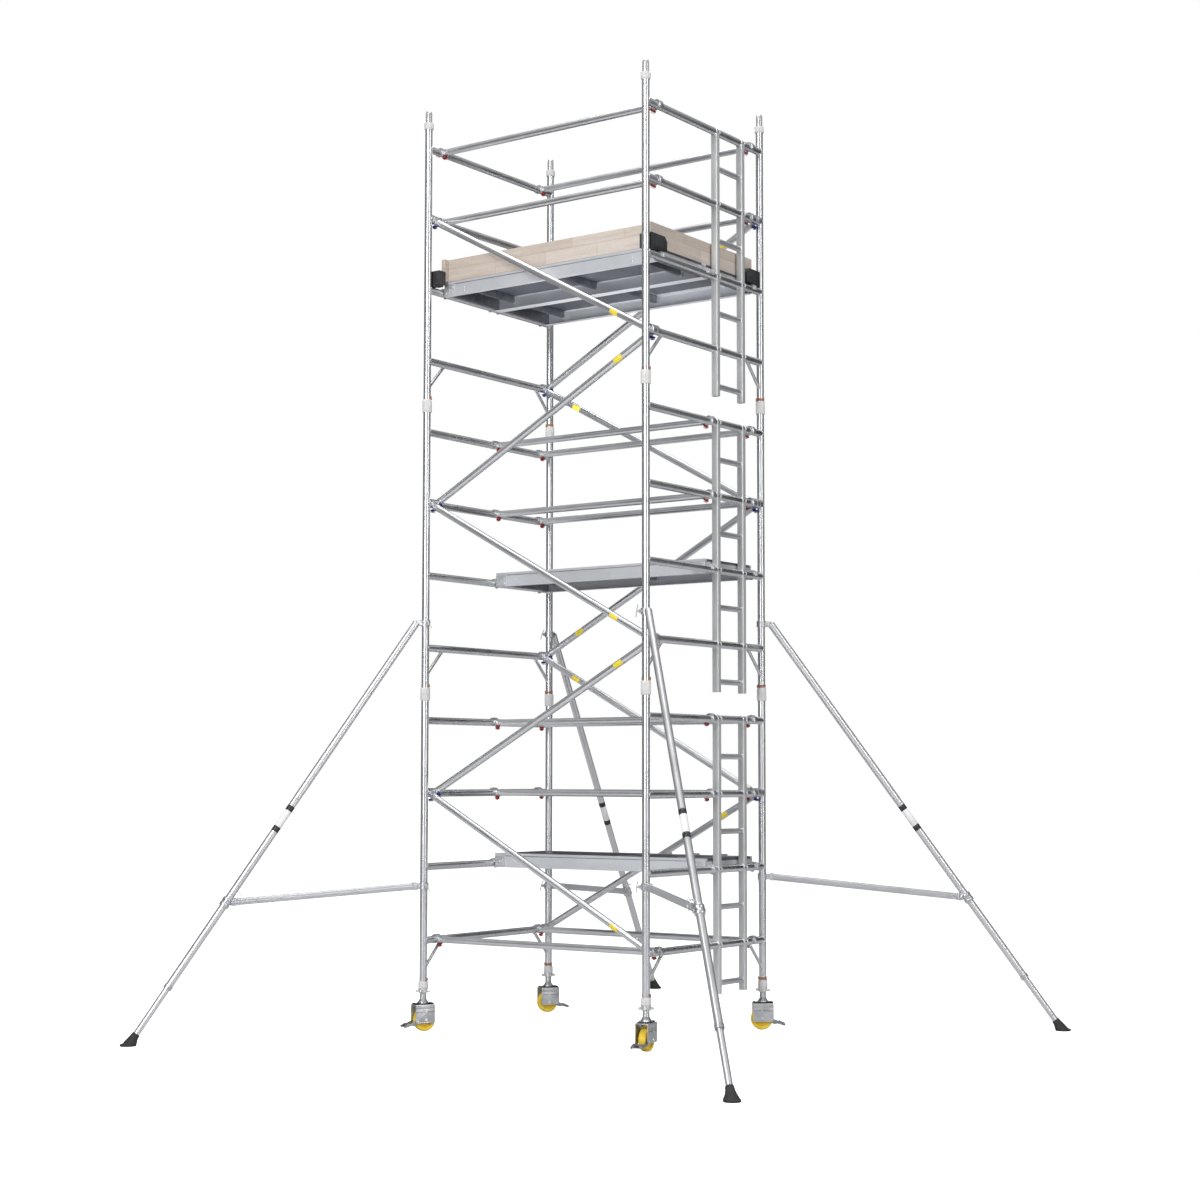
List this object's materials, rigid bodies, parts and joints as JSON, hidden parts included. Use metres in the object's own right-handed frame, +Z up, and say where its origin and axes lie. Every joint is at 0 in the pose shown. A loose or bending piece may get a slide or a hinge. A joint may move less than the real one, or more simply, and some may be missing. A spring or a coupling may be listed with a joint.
{
  "type": "mobile tower scaffold",
  "caption": "Rolling aluminium tower scaffold with stacked ladder frames, hatch decks, guardrails, toe boards, locking castors and outrigger stabilisers.",
  "frame": {"origin": "on the floor at the middle of the four posts, wheels and stabiliser feet touching the floor", "axes": "+X along the bay towards the ladder end, -Y the open front of the lower decks, +Z up"},
  "size_m": [4.675, 5.0433, 6.375],
  "materials": {
    "frame_tube": "drawn tube, satin",
    "spigot_metal": "machined satin",
    "white_plastic": "moulded",
    "clip_copper": "moulded, orange brown",
    "brace_tube": "drawn tube, satin",
    "red_plastic": "moulded",
    "blue_plastic": "moulded",
    "deck_metal": "extruded, satin",
    "deck_board": "dark film faced plywood",
    "zinc_steel": "zinc plated",
    "black_plastic": "moulded, fine texture",
    "toe_wood": "planed pale softwood, jointed",
    "nut_metal": "cast, satin",
    "leg_steel": "zinc plated thread",
    "yellow_wheel": "moulded, yellow",
    "pedal_steel": "dark grey paint",
    "stabiliser_tube": "drawn tube, satin"
  },
  "bodies": {
    "tower": {"span_frame_lower": "frame_tube", "span_frame_middle": "frame_tube", "span_frame_upper": "frame_tube", "ladder_frame_lower": "frame_tube", "ladder_frame_middle": "frame_tube", "ladder_frame_upper": "frame_tube", "spigots": "spigot_metal", "socket_rings": "white_plastic", "interlock_clips": "clip_copper", "base_braces": "brace_tube", "lower_guardrails": "brace_tube", "middle_guardrails": "brace_tube", "top_guardrails": "brace_tube", "front_diagonals": "brace_tube", "rear_diagonals": "brace_tube", "red_catches": "red_plastic", "blue_catches": "blue_plastic", "deck_low": "deck_metal", "deck_middle": "deck_metal", "deck_top_front": "deck_metal", "deck_top_rear": "deck_metal", "deck_panels": "deck_board", "wind_locks": "zinc_steel", "toe_board_front": "toe_wood", "toe_board_rear": "toe_wood", "toe_board_left": "toe_wood", "toe_board_right": "toe_wood", "toe_board_clips": "black_plastic", "hinge_pins": "zinc_steel"},
    "hatch_low": {"hatch_low": "deck_board"},
    "hatch_middle": {"hatch_middle": "deck_board"},
    "hatch_top": {"hatch_top": "deck_board"},
    "nut_front_left": {"nut_front_left": "nut_metal"},
    "leg_front_left": {"leg_front_left": "leg_steel"},
    "fork_front_left": {"fork_front_left": "zinc_steel"},
    "wheel_front_left": {"wheel_front_left": "yellow_wheel"},
    "pedal_front_left": {"pedal_front_left": "pedal_steel"},
    "nut_front_right": {"nut_front_right": "nut_metal"},
    "leg_front_right": {"leg_front_right": "leg_steel"},
    "fork_front_right": {"fork_front_right": "zinc_steel"},
    "wheel_front_right": {"wheel_front_right": "yellow_wheel"},
    "pedal_front_right": {"pedal_front_right": "pedal_steel"},
    "nut_rear_right": {"nut_rear_right": "nut_metal"},
    "leg_rear_right": {"leg_rear_right": "leg_steel"},
    "fork_rear_right": {"fork_rear_right": "zinc_steel"},
    "wheel_rear_right": {"wheel_rear_right": "yellow_wheel"},
    "pedal_rear_right": {"pedal_rear_right": "pedal_steel"},
    "nut_rear_left": {"nut_rear_left": "nut_metal"},
    "leg_rear_left": {"leg_rear_left": "leg_steel"},
    "fork_rear_left": {"fork_rear_left": "zinc_steel"},
    "wheel_rear_left": {"wheel_rear_left": "yellow_wheel"},
    "pedal_rear_left": {"pedal_rear_left": "pedal_steel"},
    "stabiliser_front_left": {"stabiliser_front_left": "stabiliser_tube"},
    "foot_leg_front_left": {"foot_leg_front_left": "stabiliser_tube"},
    "stabiliser_front_right": {"stabiliser_front_right": "stabiliser_tube"},
    "foot_leg_front_right": {"foot_leg_front_right": "stabiliser_tube"},
    "stabiliser_rear_right": {"stabiliser_rear_right": "stabiliser_tube"},
    "foot_leg_rear_right": {"foot_leg_rear_right": "stabiliser_tube"},
    "stabiliser_rear_left": {"stabiliser_rear_left": "stabiliser_tube"},
    "foot_leg_rear_left": {"foot_leg_rear_left": "stabiliser_tube"}
  },
  "joints": [
    {"name": "nut_turn_front_left", "type": "hinge", "parent": "tower", "child": "nut_front_left", "pos_m": [-0.925, -0.7, 0.274], "axis": [0, 0, 1], "range_deg": [0, 7200]},
    {"name": "leg_slide_front_left", "type": "slide", "parent": "tower", "child": "leg_front_left", "axis": [0, 0, -1], "range_m": [0, 0.2]},
    {"name": "swivel_front_left", "type": "hinge", "parent": "leg_front_left", "child": "fork_front_left", "pos_m": [-0.925, -0.7, 0.178], "axis": [0, 0, 1], "continuous": true},
    {"name": "wheel_spin_front_left", "type": "hinge", "parent": "fork_front_left", "child": "wheel_front_left", "pos_m": [-0.92137, -0.69287, 0.075], "axis": [0.891, -0.454, 0], "continuous": true},
    {"name": "brake_pedal_front_left", "type": "hinge", "parent": "fork_front_left", "child": "pedal_front_left", "pos_m": [-0.9477, -0.74455, 0.07], "axis": [0.891, -0.454, 0], "range_deg": [0, 12]},
    {"name": "nut_turn_front_right", "type": "hinge", "parent": "tower", "child": "nut_front_right", "pos_m": [0.925, -0.7, 0.274], "axis": [0, 0, 1], "range_deg": [0, 7200]},
    {"name": "leg_slide_front_right", "type": "slide", "parent": "tower", "child": "leg_front_right", "axis": [0, 0, -1], "range_m": [0, 0.2]},
    {"name": "swivel_front_right", "type": "hinge", "parent": "leg_front_right", "child": "fork_front_right", "pos_m": [0.925, -0.7, 0.178], "axis": [0, 0, 1], "continuous": true},
    {"name": "wheel_spin_front_right", "type": "hinge", "parent": "fork_front_right", "child": "wheel_front_right", "pos_m": [0.92361, -0.69212, 0.075], "axis": [0.9848, 0.1736, 0], "continuous": true},
    {"name": "brake_pedal_front_right", "type": "hinge", "parent": "fork_front_right", "child": "pedal_front_right", "pos_m": [0.93368, -0.74924, 0.07], "axis": [0.9848, 0.1736, 0], "range_deg": [0, 12]},
    {"name": "nut_turn_rear_right", "type": "hinge", "parent": "tower", "child": "nut_rear_right", "pos_m": [0.925, 0.7, 0.274], "axis": [0, 0, 1], "range_deg": [0, 7200]},
    {"name": "leg_slide_rear_right", "type": "slide", "parent": "tower", "child": "leg_rear_right", "axis": [0, 0, -1], "range_m": [0, 0.2]},
    {"name": "swivel_rear_right", "type": "hinge", "parent": "leg_rear_right", "child": "fork_rear_right", "pos_m": [0.925, 0.7, 0.178], "axis": [0, 0, 1], "continuous": true},
    {"name": "wheel_spin_rear_right", "type": "hinge", "parent": "fork_rear_right", "child": "wheel_rear_right", "pos_m": [0.9187, 0.69507, 0.075], "axis": [-0.6157, 0.788, 0], "continuous": true},
    {"name": "brake_pedal_rear_right", "type": "hinge", "parent": "fork_rear_right", "child": "pedal_rear_right", "pos_m": [0.9644, 0.73078, 0.07], "axis": [-0.6157, 0.788, 0], "range_deg": [0, 12]},
    {"name": "nut_turn_rear_left", "type": "hinge", "parent": "tower", "child": "nut_rear_left", "pos_m": [-0.925, 0.7, 0.274], "axis": [0, 0, 1], "range_deg": [0, 7200]},
    {"name": "leg_slide_rear_left", "type": "slide", "parent": "tower", "child": "leg_rear_left", "axis": [0, 0, -1], "range_m": [0, 0.2]},
    {"name": "swivel_rear_left", "type": "hinge", "parent": "leg_rear_left", "child": "fork_rear_left", "pos_m": [-0.925, 0.7, 0.178], "axis": [0, 0, 1], "continuous": true},
    {"name": "wheel_spin_rear_left", "type": "hinge", "parent": "fork_rear_left", "child": "wheel_rear_left", "pos_m": [-0.929, 0.69307, 0.075], "axis": [-0.866, 0.5, 0], "continuous": true},
    {"name": "brake_pedal_rear_left", "type": "hinge", "parent": "fork_rear_left", "child": "pedal_rear_left", "pos_m": [-0.9, 0.7433, 0.07], "axis": [-0.866, 0.5, 0], "range_deg": [0, 12]},
    {"name": "stabiliser_swing_front_left", "type": "hinge", "parent": "tower", "child": "stabiliser_front_left", "pos_m": [-0.925, -0.7, 2.78], "axis": [0, 0, 1], "range_deg": [-25, 25]},
    {"name": "foot_leg_slide_front_left", "type": "slide", "parent": "stabiliser_front_left", "child": "foot_leg_front_left", "axis": [-0.2922, -0.4863, -0.8235], "range_m": [-0.3, 0.25]},
    {"name": "stabiliser_swing_front_right", "type": "hinge", "parent": "tower", "child": "stabiliser_front_right", "pos_m": [0.925, -0.7, 2.78], "axis": [0, 0, 1], "range_deg": [-25, 25]},
    {"name": "foot_leg_slide_front_right", "type": "slide", "parent": "stabiliser_front_right", "child": "foot_leg_front_right", "axis": [0.4321, -0.3946, -0.8109], "range_m": [-0.3, 0.25]},
    {"name": "stabiliser_swing_rear_right", "type": "hinge", "parent": "tower", "child": "stabiliser_rear_right", "pos_m": [0.925, 0.7, 2.78], "axis": [0, 0, 1], "range_deg": [-25, 25]},
    {"name": "foot_leg_slide_rear_right", "type": "slide", "parent": "stabiliser_rear_right", "child": "foot_leg_rear_right", "axis": [0.4845, 0.317, -0.8154], "range_m": [-0.3, 0.25]},
    {"name": "stabiliser_swing_rear_left", "type": "hinge", "parent": "tower", "child": "stabiliser_rear_left", "pos_m": [-0.925, 0.7, 2.78], "axis": [0, 0, 1], "range_deg": [-25, 25]},
    {"name": "foot_leg_slide_rear_left", "type": "slide", "parent": "stabiliser_rear_left", "child": "foot_leg_rear_left", "axis": [-0.0916, 0.5359, -0.8393], "range_m": [-0.3, 0.25]},
    {"name": "hatch_hinge_low", "type": "hinge", "parent": "tower", "child": "hatch_low", "pos_m": [0.465, 0.573, 1.189], "axis": [-1, 0, 0], "range_deg": [0, 85]},
    {"name": "hatch_hinge_middle", "type": "hinge", "parent": "tower", "child": "hatch_middle", "pos_m": [0.465, 0.573, 3.189], "axis": [-1, 0, 0], "range_deg": [0, 85]},
    {"name": "hatch_hinge_top", "type": "hinge", "parent": "tower", "child": "hatch_top", "pos_m": [0.465, 0.573, 5.189], "axis": [-1, 0, 0], "range_deg": [0, 85]}
  ],
  "couplings": [
    {"joint": "nut_turn_front_left", "follows": "leg_slide_front_left", "rad_per_m": 628.32},
    {"joint": "nut_turn_front_right", "follows": "leg_slide_front_right", "rad_per_m": 628.32},
    {"joint": "nut_turn_rear_right", "follows": "leg_slide_rear_right", "rad_per_m": 628.32},
    {"joint": "nut_turn_rear_left", "follows": "leg_slide_rear_left", "rad_per_m": 628.32}
  ]
}
